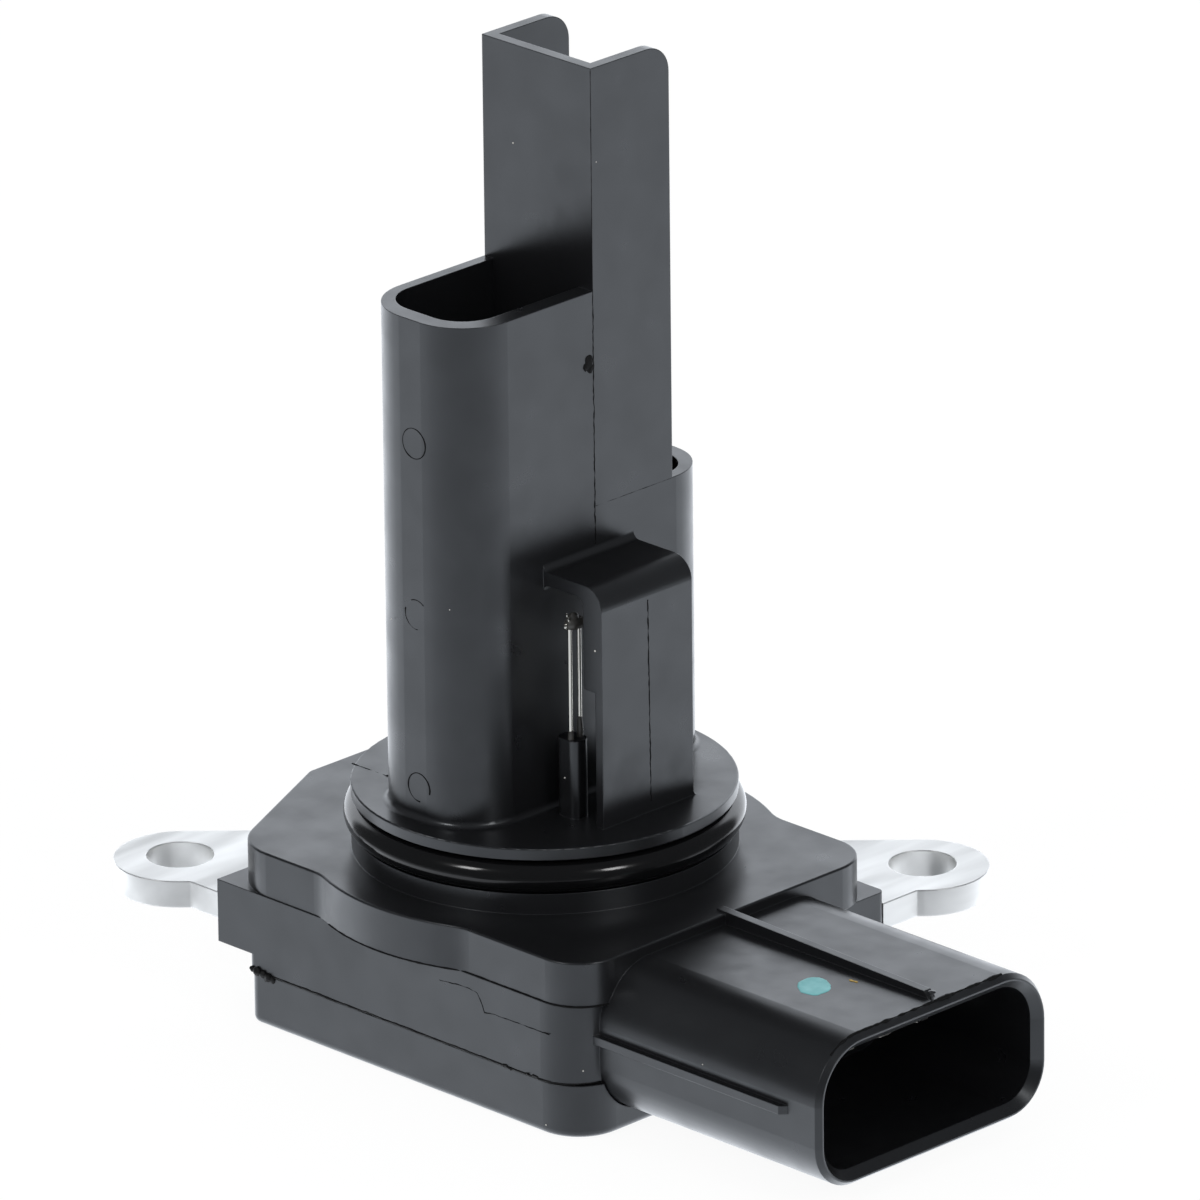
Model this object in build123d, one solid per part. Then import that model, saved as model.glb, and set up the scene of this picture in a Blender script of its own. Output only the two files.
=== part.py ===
from build123d import *
import os
from math import atan2, cos, degrees, radians, sin, sqrt

# Mass airflow sensor, millimetres.
# The origin is on the probe's axis at the underside of the cover.
# +X is the way the connector points, +Z runs up the probe.
# Heights and plan positions were read from the photograph through a fitted camera.

# Heights of the body, from the underside of the cover
Z_COVER = 4.40            # top of the cover's rim
SEAL_T = 0.16             # sealant line between cover and housing
Z_WALL = Z_COVER + SEAL_T  # underside of the housing's walls
Z_EAR_BLOCK = 5.80        # underside of the blocks that hold the plate
Z_DECK0 = 11.05           # underside of the deck
Z_DECK1 = 14.70           # top of the deck
DECK_EDGE_R = 0.15

# Metal mounting plate
PLATE_T = 2.20
Z_PLATE1 = 9.90
Z_PLATE0 = Z_PLATE1 - PLATE_T
HOLE_CIRCLE = 58.5        # distance between the two screw holes
HOLE_MID = (-5.35, 5.87)
HOLE_ANGLE = 41.8         # degrees from +X
HOLE_R = 2.70
EAR_R = 5.27
EAR_SHIFT = 0.20          # the ear's round end is this far off the hole, in X and in -Y
PLATE_X = (-17.5, 18.3)   # the part of the plate inside the moulding
PLATE_Y = (-14.5, 15.0)
WINDOW_X = (-7.0, 10.8)   # opening in the plate for the probe's terminals
WINDOW_Y = (-12.5, -2.0)

# Body outline
FRONT_Y = -17.0
BACK_Y = 17.25
BODY_X = (-16.0, 20.2)
BLOCK_X = -19.4
BACK_BLOCK_X = -23.2
BACK_BLOCK_Y = 2.2
CORNER_R = 3.8
DECK_X = (-23.9, 20.7)
DECK_Y = (-16.9, 16.0)
DECK_SLANT = ((-17.15, DECK_Y[0]), (DECK_X[0], -2.5))   # slanted side over the left ear
DECK_FRONT_R = 5.0        # round corner between the front and the slanted side
BOSS_R = 18.6             # round swelling of the deck around the collar
BOSS_BLEND_R = 4.0        # hollow round where the swelling leaves the straight edges

# Cover and the room for the circuit
COVER_X = (-16.0, 20.6)
COVER_Y = (-17.0, 17.0)
COVER_FLOOR = 1.5
COVER_BOTTOM_R = 0.6
CAVITY_X = (-13.9, 18.9)
CAVITY_Y = (-15.3, 15.3)

# Collar, seal groove and disc, one spigot radius for both
SPIGOT_R = 15.15
Z_COLLAR = 16.40
Z_DISC0 = 19.15
Z_DISC1 = 20.15
DISC_EDGE_R = 0.10
RING_SECTION_R = 1.30
RING_Z = 17.65           # the ring lies on the collar, with a gap under the disc
RING_MAJOR_R = 14.45
RING_CLEAR = 0.05
GROOVE_R = RING_MAJOR_R - RING_SECTION_R - RING_CLEAR

# Probe
STEM_X = (-6.9, 4.9)
TUBE_Y = -13.0
TUBE_R = 4.75
Z_TUBE = 61.40
CHAMBER_Y = 14.4
CHAMBER_R = 4.5
Z_CHAMBER = 43.75
WEB_Y = 1.0
WALL = 0.95
TUBE_WALL = 1.50
CHANNEL_Y = 9.5
Z_TIP = 79.55
TIP_R = 2.3
Z_FLOOR = 22.5
Z_CROSSOVER = 30.0        # top of the opening under the web
FOOT_R = 0.50             # hollow round where the probe stands on the disc

# Guard round the intake thermistor
GUARD_X = 11.2
GUARD_Y = (-4.7, 5.2)
GUARD_TOP = 39.9
GUARD_ROOF = 1.1
GUARD_THICK = 2.0
GUARD_THIN = 0.75
Z_GUARD_STEP = 31.3
GUARD_R = 1.8
GUARD_ROOT_R = (0.6, 0.5)  # hollow rounds where the roof leaves the probe, above and below
GUARD_FOOT_R = 0.40
POST_X = (6.10, 8.34)
POST_Y = (-4.85, -3.17)
POST_EDGE_R = 0.66
LEAD_X = 7.52
LEAD_Y = (-4.5, -3.5)
Z_POST = 26.6
Z_LEAD0 = 25.6            # the wires leave their terminals inside the post
Z_LEAD1 = 35.8
LEAD_R = 0.17
BEAD_R = 0.60
BEAD_LEN = 1.70

# Connector shroud
SHROUD_Y = (-14.2, 11.0)
SHROUD_Z = (1.65, 13.85)
SHROUD_R = (4.0, 4.8)     # lower and upper corners
SHROUD_WALL = 1.20
MOUTH_X = 43.60
SOCKET_FLOOR_X = 27.5
LIP_LEN = 0.45            # the outer edge of the mouth slopes in over this length
LIP_STEP = 0.35
LEAD_IN = 0.70
RIB_Y = (-0.95, -0.20)
RIB_TOP = (14.87, 14.35)  # the rib gets lower towards the mouth
RIB_END = 42.4
SIDE_RIB = 0.55
SIDE_RIB_Z = (7.75, 8.45)
SIDE_RIB_END = 40.3

# Terminals
PIN_Y = [-9.8, -5.7, -1.6, 2.5, 6.6]
PIN_W = 2.2
PIN_T = 0.64
PIN_Z = 7.44
PIN_TIP_X = 34.5
FRAME_Z = 5.60            # level of the strips inside the cavity
FRAME_W = 1.0
FRAME_JOG_X = [20.9, 22.0, 23.1, 24.2, 25.3]
FRAME_JOG_W = 0.7
FRAME_END_Y = [0.0, 2.2, 4.4, 6.6, 8.8]
FRAME_END_X = 16.0
RISE_X = 26.3
Z_TERM = 5.70             # lower ends of the probe's terminals
TERM = (0.40, 0.60)
TERM_Y = -5.5
HEATER_X = (-4.4, -1.6)
Z_HEATER = 41.0
COLD_X = (0.0, 2.6)
Z_COLD = 37.0
ELEMENT_R = 0.35
ELEMENT_LEN = 1.5
ELEMENT_WIRE_R = 0.09
LEAD_TERM = (0.44, 0.36)

# Circuit
ADHESIVE_T = 0.20
BOARD_T = 0.64
BOARD_X = (-12.0, 13.8)
BOARD_Y = (-1.2, 13.2)
Z_BOARD1 = Z_PLATE0 - ADHESIVE_T
Z_BOARD0 = Z_BOARD1 - BOARD_T
WIRE = 0.25
WIRE_Z = 4.95             # lowest level of the bond wires
PAD_IN = 0.75             # how far a bond sits inside the board's edge
CHIP = (6.0, 4.4, 1.4)    # length, width and height of the circuit's pieces
REGULATOR = (3.6, 3.0, 1.2)
CAPACITOR = (1.6, 0.8, 0.8)
RESISTOR = (2.0, 1.2, 0.35)
CHIP_AT = (14.5, 7.4)     # centres, from the board's corner at the lowest X and Y
REGULATOR_AT = (5.5, 9.8)
CAPACITORS_AT = [(21.3, 3.2), (21.3, 11.8), (9.4, 12.0), (2.2, 3.8)]
RESISTORS_AT = [(5.6, 3.4), (8.8, 3.4), (17.6, 12.1), (2.1, 7.4)]


def block(x, y, z):
    size = (x[1] - x[0], y[1] - y[0], z[1] - z[0])
    mid = ((x[0] + x[1]) / 2, (y[0] + y[1]) / 2, (z[0] + z[1]) / 2)
    return Pos(*mid) * Box(*size)


def disc(radius, z0, z1, at=(0, 0)):
    return Pos(at[0], at[1], (z0 + z1) / 2) * Cylinder(radius, z1 - z0)


def outline(points, radii):
    face = make_face(Polyline(*points, close=True))
    for point, radius in zip(points, radii):
        if radius > 0:
            corner = face.vertices().sort_by_distance((point[0], point[1], 0))[0]
            face = fillet(corner, radius)
    return face


def slab(points, radii, z0, z1):
    return extrude(Pos(0, 0, z0) * outline(points, radii), amount=z1 - z0, dir=(0, 0, 1))


def rectangle(x, y):
    return [(x[0], y[0]), (x[1], y[0]), (x[1], y[1]), (x[0], y[1])]


def shroud_face(inset, x):
    y = (SHROUD_Y[0] + inset, SHROUD_Y[1] - inset)
    z = (SHROUD_Z[0] + inset, SHROUD_Z[1] - inset)
    low, high = SHROUD_R[0] - inset, SHROUD_R[1] - inset
    plane = Plane(origin=(x, 0, 0), x_dir=(0, 1, 0), z_dir=(1, 0, 0))
    return plane * outline(rectangle(y, z), [low, low, high, high])


def along_x(face, length, taper=0):
    return extrude(face, amount=length, dir=(1, 0, 0), taper=taper)


def hole_centres():
    half = HOLE_CIRCLE / 2
    step = (half * cos(radians(HOLE_ANGLE)), half * sin(radians(HOLE_ANGLE)))
    right = (HOLE_MID[0] + step[0], HOLE_MID[1] + step[1])
    left = (HOLE_MID[0] - step[0], HOLE_MID[1] - step[1])
    return left, right


def ear(centre, towards, length):
    # A bar at 45 degrees with a round end; towards is +1 for the left ear, -1 for the right
    side = EAR_R / sqrt(2)
    run = towards * length / sqrt(2)
    cx, cy = centre[0] + EAR_SHIFT, centre[1] - EAR_SHIFT
    points = [(cx - side, cy + side), (cx + side, cy - side),
              (cx + side + run, cy - side + run), (cx - side + run, cy + side + run)]
    bar = slab(points, [0] * 4, Z_PLATE0, Z_PLATE1)
    return bar + disc(EAR_R, Z_PLATE0, Z_PLATE1, (cx, cy)), (cx + side, cy - side)


def make_plate():
    left, right = hole_centres()
    z = (Z_PLATE0, Z_PLATE1)
    left_ear, left_front = ear(left, 1, 17.0)
    right_ear, right_front = ear(right, -1, 17.0)
    flush_y = FRONT_Y + 0.1
    flush_x = BODY_X[1] - 0.2
    # the front edges of the ears turn to run flush with the moulding's faces
    left_turn = left_front[0] + (flush_y - left_front[1])
    right_turn = right_front[1] + (flush_x - right_front[0])
    plate = left_ear + right_ear
    plate += block((left_turn, BLOCK_X), (flush_y, flush_y + 8), z)
    plate += block((flush_x - 8, flush_x), (BACK_Y, right_turn), z)
    plate += block(PLATE_X, PLATE_Y, z)
    plate -= block(WINDOW_X, WINDOW_Y, z)
    plate -= disc(HOLE_R, z[0] - 1, z[1] + 1, left)
    plate -= disc(HOLE_R, z[0] - 1, z[1] + 1, right)
    return plate


def make_deck():
    points = [DECK_SLANT[0], (DECK_X[1], DECK_Y[0]), (DECK_X[1], DECK_Y[1]),
              (DECK_X[0], DECK_Y[1]), DECK_SLANT[1]]
    face = outline(points, [DECK_FRONT_R, CORNER_R, 4.0, 3.5, 1.0]) + Circle(BOSS_R)
    # out and back in again leaves a hollow round in each inner corner
    face = offset(offset(face, BOSS_BLEND_R), -BOSS_BLEND_R)
    deck = extrude(Pos(0, 0, Z_DECK0) * face, amount=Z_DECK1 - Z_DECK0, dir=(0, 0, 1))
    top = deck.faces().sort_by(Axis.Z)[-1]
    deck = fillet(top.edges(), DECK_EDGE_R)
    return deck + disc(SPIGOT_R, Z_DECK1 - 1, Z_COLLAR)


def make_body():
    x, y = BODY_X, (FRONT_Y, BACK_Y)
    body = slab(rectangle(x, y), [0.6, CORNER_R, 0.6, 0.6], Z_WALL, Z_DECK0)
    z = (Z_EAR_BLOCK, Z_DECK0)
    body += block((BLOCK_X, x[0] + 1), (FRONT_Y, BACK_BLOCK_Y + 1), z)
    body += block((BACK_BLOCK_X, x[0] + 1), (BACK_BLOCK_Y, BACK_Y), z)
    body += make_deck()
    body += disc(GROOVE_R, Z_COLLAR - 1, Z_DISC0 + 0.5)
    rim = disc(SPIGOT_R, Z_DISC0, Z_DISC1)
    body += fillet(rim.edges().filter_by(GeomType.CIRCLE), DISC_EDGE_R)
    return body


def make_foot(points, radii, round_r, from_y=-100.0):
    ground = disc(2 * SPIGOT_R, Z_DISC1 - 1, Z_DISC1)
    foot = ground + slab(points, radii, Z_DISC1 - 1, Z_DISC1 + 1)
    inner = [e for e in foot.edges() if abs(e.center().Z - Z_DISC1) < 0.001
             and e.length < 2 * SPIGOT_R and e.center().Y > from_y]
    return fillet(inner, round_r) & disc(SPIGOT_R - DISC_EDGE_R, Z_DISC1, Z_DISC1 + 1)


def make_probe():
    x = STEM_X
    tube = [(x[0], TUBE_Y), (x[1], TUBE_Y), (x[1], WEB_Y + WALL), (x[0], WEB_Y + WALL)]
    probe = slab(tube, [TUBE_R, TUBE_R, 0, 0], Z_DISC1 - 0.5, Z_TUBE)
    chamber = [(x[0], WEB_Y), (x[1], WEB_Y), (x[1], CHAMBER_Y), (x[0], CHAMBER_Y)]
    probe += slab(chamber, [0, 0, CHAMBER_R, CHAMBER_R], Z_DISC1 - 0.5, Z_CHAMBER)
    channel = block(x, (WEB_Y, CHANNEL_Y), (Z_DISC1, Z_TIP))
    tips = [e for e in channel.edges().filter_by(Axis.X)
            if e.center().Z > Z_TIP - 0.01 and e.center().Y > CHANNEL_Y - 0.01]
    outside = [(x[0], TUBE_Y), (x[1], TUBE_Y), (x[1], CHAMBER_Y), (x[0], CHAMBER_Y)]
    foot = make_foot(outside, [TUBE_R, TUBE_R, CHAMBER_R, CHAMBER_R], FOOT_R)
    return probe + fillet(tips, TIP_R) + foot


def probe_hollows():
    x0, x1 = STEM_X
    inner = (x0 + WALL, x1 - TUBE_WALL)
    y0 = TUBE_Y + TUBE_WALL
    tube = [(inner[0], y0), (inner[1], y0), (inner[1], WEB_Y), (inner[0], WEB_Y)]
    r = TUBE_R - TUBE_WALL
    hollow = slab(tube, [r, r, 0, 0], Z_FLOOR, Z_TUBE + 1)
    wide = (x0 + WALL, x1 - WALL)
    y1 = CHAMBER_Y - TUBE_WALL
    y = WEB_Y + WALL
    chamber = [(wide[0], y), (wide[1], y), (wide[1], y1), (wide[0], y1)]
    r = CHAMBER_R - TUBE_WALL
    hollow += slab(chamber, [0, 0, r, r], Z_FLOOR, Z_CHAMBER + 1)
    hollow += block(wide, (y, CHANNEL_Y + 1), (Z_CHAMBER, Z_TIP + 1))
    hollow += block(inner, (WEB_Y - 0.5, y + 0.5), (Z_FLOOR, Z_CROSSOVER))
    return hollow


def make_guard():
    plane = Plane.XZ.offset(-GUARD_Y[0])
    root, wall = STEM_X[1] - 0.5, STEM_X[1]
    foot = Z_DISC1 - 0.5
    roof = GUARD_TOP - GUARD_ROOF
    above, below = GUARD_ROOT_R
    # the profile runs 0.1 mm past both hollow rounds, flat on the probe's side
    high, low = GUARD_TOP + above + 0.1, roof - below - 0.1
    profile = [(root, high), (wall, high), (wall, GUARD_TOP), (GUARD_X, GUARD_TOP), (GUARD_X, foot),
               (GUARD_X - GUARD_THIN, foot), (GUARD_X - GUARD_THIN, Z_GUARD_STEP),
               (GUARD_X - GUARD_THICK, Z_GUARD_STEP), (GUARD_X - GUARD_THICK, roof), (wall, roof),
               (wall, low), (root, low)]
    radii = [0, 0, above, GUARD_R, 0, 0, 0, 0.3, 0.8, below, 0, 0]
    face = plane * outline(profile, radii)
    guard = extrude(face, amount=GUARD_Y[1] - GUARD_Y[0], dir=(0, 1, 0))
    plate = rectangle((GUARD_X - GUARD_THIN, GUARD_X), GUARD_Y)
    guard += make_foot(plate, [0] * 4, GUARD_FOOT_R, GUARD_Y[1] - 0.1)
    return guard + slab(rectangle(POST_X, POST_Y), [POST_EDGE_R] * 4, foot, Z_POST)


def make_shroud():
    start = CAVITY_X[1]
    shroud = along_x(shroud_face(0, start), MOUTH_X - LIP_LEN - start)
    slope = degrees(atan2(LIP_STEP, LIP_LEN))
    shroud += along_x(shroud_face(0, MOUTH_X - LIP_LEN), LIP_LEN, slope)
    root = SHROUD_Z[1] - 1
    profile = [(DECK_X[1] - 1, root), (RIB_END, root), (RIB_END, RIB_TOP[1] - 0.5),
               (RIB_END - 0.5, RIB_TOP[1]), (DECK_X[1] - 1, RIB_TOP[0])]
    face = Plane.XZ.offset(-RIB_Y[0]) * outline(profile, [0] * 5)
    shroud += extrude(face, amount=RIB_Y[1] - RIB_Y[0], dir=(0, 1, 0))
    side = block((BODY_X[1] - 1, SIDE_RIB_END), (SHROUD_Y[0] - SIDE_RIB, SHROUD_Y[0] + 1), SIDE_RIB_Z)
    ends = [e for e in side.edges().filter_by(Axis.Z)
            if e.center().X > SIDE_RIB_END - 0.01 and e.center().Y < SHROUD_Y[0]]
    return shroud + chamfer(ends, 0.5)


def socket():
    hollow = along_x(shroud_face(SHROUD_WALL, SOCKET_FLOOR_X), MOUTH_X + 1 - SOCKET_FLOOR_X)
    mouth = extrude(shroud_face(SHROUD_WALL - LEAD_IN, MOUTH_X), amount=LEAD_IN + 0.3,
                    dir=(-1, 0, 0), taper=45)
    return hollow + mouth


def connector_terminal(number):
    y = PIN_Y[number]
    end_y = FRAME_END_Y[number]
    jog = FRAME_JOG_X[number]
    half = PIN_W / 2
    z = (FRAME_Z, FRAME_Z + PIN_T)
    blade = block((RISE_X, PIN_TIP_X), (y - half, y + half), (PIN_Z, PIN_Z + PIN_T))
    tips = [e for e in blade.edges().filter_by(Axis.Z) if e.center().X > PIN_TIP_X - 0.01]
    terminal = chamfer(tips, 0.5)
    low = (y - FRAME_W / 2, y + FRAME_W / 2)
    terminal += block((RISE_X, RISE_X + PIN_T), low, (FRAME_Z, PIN_Z + PIN_T))
    terminal += block((jog, RISE_X + PIN_T), low, z)
    inner = (end_y - FRAME_W / 2, end_y + FRAME_W / 2)
    span = (min(low[0], inner[0]), max(low[1], inner[1]))
    terminal += block((jog, jog + FRAME_JOG_W), span, z)
    terminal += block((FRAME_END_X, jog + FRAME_JOG_W), inner, z)
    return terminal


def probe_terminal(x, y, size, top):
    half = (size[0] / 2, size[1] / 2)
    return block((x - half[0], x + half[0]), (y - half[1], y + half[1]), (Z_TERM, top))


def element(pair, z):
    # A small wound bobbin held between two posts by its end wires
    inside = (pair[0] + TERM[0] / 2, pair[1] - TERM[0] / 2)
    middle = (inside[0] + inside[1]) / 2
    body = Pos(middle, TERM_Y, z) * Rot(0, 90, 0) * Cylinder(ELEMENT_R, ELEMENT_LEN)
    wire = Pos(middle, TERM_Y, z) * Rot(0, 90, 0) * Cylinder(ELEMENT_WIRE_R, inside[1] - inside[0])
    return body + wire


def lead(y):
    return disc(LEAD_R, Z_LEAD0, Z_LEAD1, (LEAD_X, y))


def make_bead():
    middle = sum(LEAD_Y) / 2
    half = BEAD_LEN / 2 - BEAD_R
    z = Z_LEAD1 + 0.35
    bead = Pos(LEAD_X, middle, z) * Rot(90, 0, 0) * Cylinder(BEAD_R, 2 * half)
    bead += Pos(LEAD_X, middle - half, z) * Sphere(BEAD_R)
    bead += Pos(LEAD_X, middle + half, z) * Sphere(BEAD_R)
    return bead - block((LEAD_X - 2, LEAD_X + 2), (middle - 2, middle + 2), (z - 2, Z_LEAD1))


def make_ring():
    ring = Pos(0, 0, RING_Z) * Torus(RING_MAJOR_R, RING_SECTION_R)
    return ring & disc(RING_MAJOR_R + 3, Z_COLLAR, Z_DISC0)


def make_cover():
    points = rectangle(COVER_X, COVER_Y)
    radii = [1.0, 4.0, 4.0, 1.0]
    cover = slab(points, radii, 0, Z_COVER)
    bottom = cover.faces().sort_by(Axis.Z)[0]
    cover = fillet(bottom.edges(), COVER_BOTTOM_R)
    cover -= block(CAVITY_X, CAVITY_Y, (COVER_FLOOR, Z_COVER + 1))
    return cover - along_x(shroud_face(-0.1, CAVITY_X[1] - 0.1), 6)


def make_seal():
    inset = 0.12
    x = (COVER_X[0] + inset, BODY_X[1] - inset)
    y = (COVER_Y[0] + inset, COVER_Y[1] - inset)
    seal = slab(rectangle(x, y), [0.9, CORNER_R - 0.1, 0.6, 0.6], Z_COVER, Z_WALL)
    seal -= block(CAVITY_X, CAVITY_Y, (Z_COVER - 1, Z_WALL + 1))
    return seal - along_x(shroud_face(-0.1, CAVITY_X[1] - 0.1), 6)


def make_board():
    return block(BOARD_X, BOARD_Y, (Z_BOARD0, Z_BOARD1))


def chips(places, size):
    solid = None
    for across, along in places:
        x, y = BOARD_X[0] + across, BOARD_Y[0] + along
        z = (Z_BOARD0 - size[2], Z_BOARD0)
        one = block((x - size[0] / 2, x + size[0] / 2), (y - size[1] / 2, y + size[1] / 2), z)
        solid = one if solid is None else solid + one
    return solid


def bond(start, end, start_z, end_z):
    # A square wire: down from the start, across, and up to the board
    w = WIRE / 2
    a = block((start[0] - w, start[0] + w), (start[1] - w, start[1] + w), (WIRE_Z, start_z))
    b = block((end[0] - w, end[0] + w), (end[1] - w, end[1] + w), (WIRE_Z, end_z))
    x = (min(start[0], end[0]) - w, max(start[0], end[0]) + w)
    y = (min(start[1], end[1]) - w, max(start[1], end[1]) + w)
    return a + b + block(x, y, (WIRE_Z, WIRE_Z + WIRE))


def make_connector_bonds():
    wires = []
    for y in FRAME_END_Y:
        pad = (BOARD_X[1] - PAD_IN, y)
        wires.append(bond((FRAME_END_X + 0.6, y), pad, FRAME_Z, Z_BOARD0))
    return wires


def make_probe_bonds():
    wires = []
    for x in [*HEATER_X, *COLD_X]:
        wires.append(bond((x, TERM_Y), (x, BOARD_Y[0] + PAD_IN), Z_TERM, Z_BOARD0))
    for step, y in ((-0.7, LEAD_Y[0]), (0.7, LEAD_Y[1])):
        low = bond((LEAD_X, y), (LEAD_X + step, y), Z_TERM, WIRE_Z + WIRE)
        up = bond((LEAD_X + step, y), (LEAD_X + step, BOARD_Y[0] + PAD_IN), WIRE_Z + WIRE, Z_BOARD0)
        wires.append(low + up)
    return wires


def build():
    parts = {}
    parts["mounting_plate"] = make_plate()
    for number in range(5):
        parts["connector_terminal_%d" % (number + 1)] = connector_terminal(number)
    parts["heater_terminal_1"] = probe_terminal(HEATER_X[0], TERM_Y, TERM, Z_HEATER)
    parts["heater_terminal_2"] = probe_terminal(HEATER_X[1], TERM_Y, TERM, Z_HEATER)
    parts["cold_terminal_1"] = probe_terminal(COLD_X[0], TERM_Y, TERM, Z_COLD)
    parts["cold_terminal_2"] = probe_terminal(COLD_X[1], TERM_Y, TERM, Z_COLD)
    parts["thermistor_terminal_1"] = probe_terminal(LEAD_X, LEAD_Y[0], LEAD_TERM, Z_LEAD0)
    parts["thermistor_terminal_2"] = probe_terminal(LEAD_X, LEAD_Y[1], LEAD_TERM, Z_LEAD0)
    parts["thermistor_lead_1"] = lead(LEAD_Y[0])
    parts["thermistor_lead_2"] = lead(LEAD_Y[1])

    housing = make_body() + make_probe() + make_guard() + make_shroud()
    housing -= probe_hollows()
    housing -= socket()
    housing -= block(CAVITY_X, CAVITY_Y, (Z_WALL - 1, Z_PLATE0))
    for name in list(parts):
        housing -= parts[name]
    parts["housing"] = housing

    parts["cover"] = make_cover()
    parts["cover_seal"] = make_seal()
    parts["o_ring"] = make_ring()
    parts["heater_element"] = element(HEATER_X, Z_HEATER - 0.6)
    parts["cold_element"] = element(COLD_X, Z_COLD - 0.6)
    parts["thermistor_bead"] = make_bead()
    parts["board_adhesive"] = block(BOARD_X, BOARD_Y, (Z_BOARD1, Z_PLATE0))
    parts["circuit_board"] = make_board()
    parts["control_chip"] = chips([CHIP_AT], CHIP)
    parts["regulator_chip"] = chips([REGULATOR_AT], REGULATOR)
    parts["capacitors"] = chips(CAPACITORS_AT, CAPACITOR)
    parts["resistors"] = chips(RESISTORS_AT, RESISTOR)
    parts["connector_bonds"] = Compound(children=make_connector_bonds())
    parts["probe_bonds"] = Compound(children=make_probe_bonds())
    return parts


os.makedirs("parts", exist_ok=True)
PARTS = build()
for NODE, SHAPE in PARTS.items():
    export_step(SHAPE, "parts/%s.step" % NODE)
    print(NODE, round(SHAPE.volume, 2), len(SHAPE.solids()))
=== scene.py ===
# %% [markdown]
# # A plug-in mass airflow sensor
# This lesson dresses a CAD model of an airflow sensor: a black moulded body with a hollow probe,
# two bright metal ears, a sealing ring and a connector. The solids come from CAD and stay as they
# are. What Blender adds is the finish of each material and the small traces of how the thing was
# made: ejector marks, parting lines, squeezed-out sealant, a dab of paint and a little dust.

# %% Load the frame
import bpy
import bmesh
import math
from mathutils import Matrix, Vector, noise


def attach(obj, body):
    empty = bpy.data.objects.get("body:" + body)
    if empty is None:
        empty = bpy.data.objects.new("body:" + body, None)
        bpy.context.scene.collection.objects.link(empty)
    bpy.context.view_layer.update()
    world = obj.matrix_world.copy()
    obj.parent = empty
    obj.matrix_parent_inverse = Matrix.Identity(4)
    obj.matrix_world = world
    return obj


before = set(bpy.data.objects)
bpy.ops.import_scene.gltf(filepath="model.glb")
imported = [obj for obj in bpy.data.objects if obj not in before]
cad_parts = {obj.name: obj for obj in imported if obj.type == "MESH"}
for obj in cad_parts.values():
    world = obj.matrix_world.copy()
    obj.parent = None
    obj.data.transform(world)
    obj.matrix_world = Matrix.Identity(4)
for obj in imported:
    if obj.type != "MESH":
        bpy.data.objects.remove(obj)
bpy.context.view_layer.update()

MM = 0.001

# %% [markdown]
# ## The camera
# The photograph was taken with a long lens, a little more than a metre away, from the front right
# and above. These numbers come from fitting a camera to edges of the sensor in the photograph. The
# shift moves the picture in its frame. A tilt would do that too, but make the upright edges lean.

# %% Camera
AZIMUTH = math.radians(44.611)      # from +X towards -Y
ELEVATION = math.radians(20.933)
ROLL = math.radians(-0.696)
DISTANCE = 1252.29 * MM
TARGET = Vector((0.0, 0.0, 43.914 * MM))
SENSOR = 36.0                       # mm
LENS = 484.94                       # mm
SHIFT = (0.0491, -0.0905)
CLIP_END = 10.0                     # m, beyond the floor's far corner


def make_camera():
    towards = Vector((math.cos(ELEVATION) * math.cos(AZIMUTH),
                      -math.cos(ELEVATION) * math.sin(AZIMUTH),
                      math.sin(ELEVATION)))
    right = (-towards).cross(Vector((0, 0, 1))).normalized()
    up = right.cross(-towards)
    turned_right = right * math.cos(ROLL) + up * math.sin(ROLL)
    turned_up = up * math.cos(ROLL) - right * math.sin(ROLL)
    camera = bpy.data.objects.new("camera", bpy.data.cameras.new("camera"))
    camera.matrix_world = Matrix((turned_right, turned_up, towards)).transposed().to_4x4()
    camera.matrix_world.translation = TARGET + towards * DISTANCE
    camera.data.lens = LENS
    camera.data.sensor_width = SENSOR
    camera.data.shift_x, camera.data.shift_y = SHIFT
    camera.data.clip_end = CLIP_END
    bpy.context.scene.collection.objects.link(camera)
    bpy.context.scene.camera = camera
    return camera


camera = make_camera()
print("camera at", [round(v, 3) for v in camera.location], "m")

# %% [markdown]
# ## A helper for nodes, and one for colours
# Every material and every Geometry Nodes tree below is built from the same small function. It adds
# a node, sets what is named, and links or fills its inputs. Colours are written as they look on a
# screen (sRGB hex) and turned to the linear values that Blender calculates with.

# %% Helpers for nodes and colours


def add_node(tree, kind, inputs=None, **settings):
    node = tree.nodes.new(kind)
    for key, value in settings.items():
        setattr(node, key, value)
    for key, value in (inputs or {}).items():
        socket = node.inputs[key]
        if isinstance(value, bpy.types.NodeSocket):
            tree.links.new(value, socket)
        else:
            socket.default_value = value
    return node


def linear(hex_colour):
    values = [int(hex_colour[i:i + 2], 16) / 255 for i in (1, 3, 5)]
    return [v / 12.92 if v <= 0.04045 else ((v + 0.055) / 1.055) ** 2.4 for v in values] + [1.0]


print("mid grey #808080 is", round(linear("#808080")[0], 3), "in linear light")

# %% [markdown]
# ## The world
# Nearly all that the eye sees on black plastic is the room in its gloss, so the room is built with
# care. The photograph's plastic shows a white table under the sensor and a white backdrop behind
# it, both brightest on the far side. The gloss also shows that the rest of the room is dim:
# corners that face up and outwards stay black. A picture of a studio could wrap round the scene,
# but a few ramps over height and direction are easier to match. Only glossy rays see that room.
# The camera sees plain white, and the light that falls on the object is soft and even.

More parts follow.
